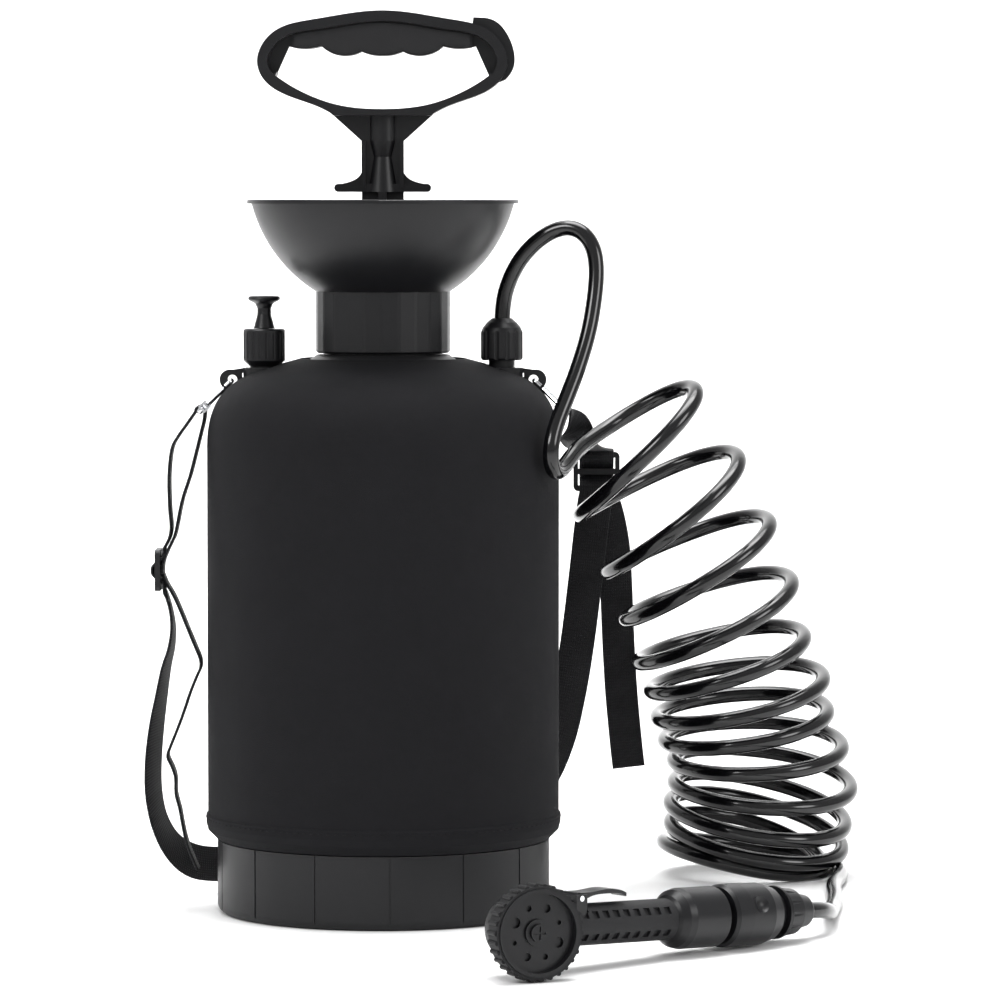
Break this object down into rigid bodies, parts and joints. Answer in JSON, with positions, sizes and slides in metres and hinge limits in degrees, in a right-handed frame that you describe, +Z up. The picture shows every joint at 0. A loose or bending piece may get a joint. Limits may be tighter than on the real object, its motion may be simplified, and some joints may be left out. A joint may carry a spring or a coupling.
{
  "type": "portable pressure shower",
  "caption": "Hand-pumped pressure shower: sleeved tank with funnel top, D-handle pump, carry strap, coiled hose and spray handset.",
  "frame": {"origin": "centre of the underside of the base, on the floor", "axes": "+Z up along the pump, -Y towards the spray dial and the viewer, +X towards the hose coil"},
  "size_m": [0.4135, 0.5096, 0.5043],
  "materials": {
    "pe_black": "moulded, satin",
    "pp_handle": "moulded, fine texture",
    "neoprene": "smooth knitted nylon face",
    "clear_bottle": "blow-moulded",
    "soft_grip": "soft, matt",
    "seal_rubber": "smooth",
    "hose_pvc": "glossy",
    "steel_wire": "bright",
    "spring_steel": "bright",
    "webbing": "woven nylon",
    "dial_plastic": "satin"
  },
  "bodies": {
    "tank": {"bottle": "clear_bottle", "base_cup": "pe_black", "neoprene_sleeve": "neoprene", "lug_left": "pp_handle", "lug_right": "pp_handle", "funnel": "pp_handle", "neck_gasket": "seal_rubber", "valve_body": "pp_handle", "valve_cap": "pp_handle", "lock_nuts": "pe_black", "lock_washers": "seal_rubber", "gland_stem": "pp_handle", "gland_seal": "seal_rubber", "gland_nut": "pp_handle", "dip_tube": "pe_black", "strainer": "pe_black", "hook_left": "steel_wire", "hook_right": "steel_wire", "gate_pins": "steel_wire", "strap_left": "webbing", "strap_main": "webbing", "strap_right": "webbing", "strap_tail_left": "webbing", "strap_tail_right": "webbing", "slider_left": "pe_black", "slider_right": "pe_black", "hose_loop": "hose_pvc", "hose_coil": "hose_pvc", "hose_tail": "hose_pvc", "hose_nut": "dial_plastic", "connector_body": "dial_plastic"},
    "pump": {"pump_cap": "pp_handle", "cap_gasket": "seal_rubber", "pump_cylinder": "pe_black", "foot_valve": "seal_rubber"},
    "plunger": {"piston_cup": "seal_rubber", "piston_plate": "pe_black"},
    "handle": {"pump_rod": "pe_black", "rod_clip": "pe_black", "handle_frame": "pp_handle", "grip_pads": "soft_grip", "lance_clip": "pp_handle"},
    "pull_knob": {"valve_knob": "pp_handle", "valve_stem": "pe_black", "valve_seal": "seal_rubber", "valve_spring": "spring_steel"},
    "left_gate": {"gate_left": "steel_wire"},
    "right_gate": {"gate_right": "steel_wire"},
    "release_sleeve": {"connector_sleeve": "dial_plastic"},
    "handset": {"handset_body": "dial_plastic", "grip_rubber": "soft_grip", "handset_bell": "dial_plastic", "handset_spigot": "dial_plastic", "spigot_seal": "seal_rubber", "dial_screw": "steel_wire", "lever_pin": "steel_wire"},
    "dial": {"spray_dial": "dial_plastic", "dial_ring": "soft_grip"},
    "lever": {"side_lever": "dial_plastic"}
  },
  "joints": [
    {"name": "pump_lift", "type": "slide", "parent": "tank", "child": "pump", "axis": [0, 0, 1], "range_m": [0, 0.32]},
    {"name": "pump_stroke", "type": "slide", "parent": "pump", "child": "plunger", "axis": [0, 0, 1], "range_m": [0, 0.19]},
    {"name": "handle_turn", "type": "hinge", "parent": "plunger", "child": "handle", "pos_m": [0, 0, 0.4], "axis": [0, 0, 1], "range_deg": [0, 60]},
    {"name": "valve_pull", "type": "slide", "parent": "tank", "child": "pull_knob", "axis": [0, 0, 1], "range_m": [0, 0.004], "stiffness_N_per_m": 600, "springref_m": -0.004, "deforming": ["valve_spring"]},
    {"name": "gate_swing_left", "type": "hinge", "parent": "tank", "child": "left_gate", "pos_m": [-0.09888, -0.0124, 0.28433], "axis": [-0.6996, 0, 0.7146], "range_deg": [0, 25], "stiffness_Nm_per_rad": 0.002, "springref_deg": -8.59},
    {"name": "gate_swing_right", "type": "hinge", "parent": "tank", "child": "right_gate", "pos_m": [0.09888, -0.0124, 0.28433], "axis": [-0.6996, 0, -0.7146], "range_deg": [0, 25], "stiffness_Nm_per_rad": 0.002, "springref_deg": -8.59},
    {"name": "sleeve_slide", "type": "slide", "parent": "tank", "child": "release_sleeve", "axis": [0.7389, 0.6723, -0.0454], "range_m": [0, 0.004], "stiffness_N_per_m": 500, "springref_m": -0.003},
    {"name": "handset_pull", "type": "slide", "parent": "tank", "child": "handset", "axis": [-0.7389, -0.6723, 0.0454], "range_m": [0, 0.045]},
    {"name": "dial_turn", "type": "hinge", "parent": "handset", "child": "dial", "pos_m": [0.0756, -0.2628, 0.0252], "axis": [0.4228, -0.9061, 0.0135], "continuous": true},
    {"name": "lever_press", "type": "hinge", "parent": "handset", "child": "lever", "pos_m": [0.10269, -0.23815, 0.03805], "axis": [-0.673, 0.7396, 0], "range_deg": [0, 4], "stiffness_Nm_per_rad": 0.6, "springref_deg": -5.73}
  ]
}
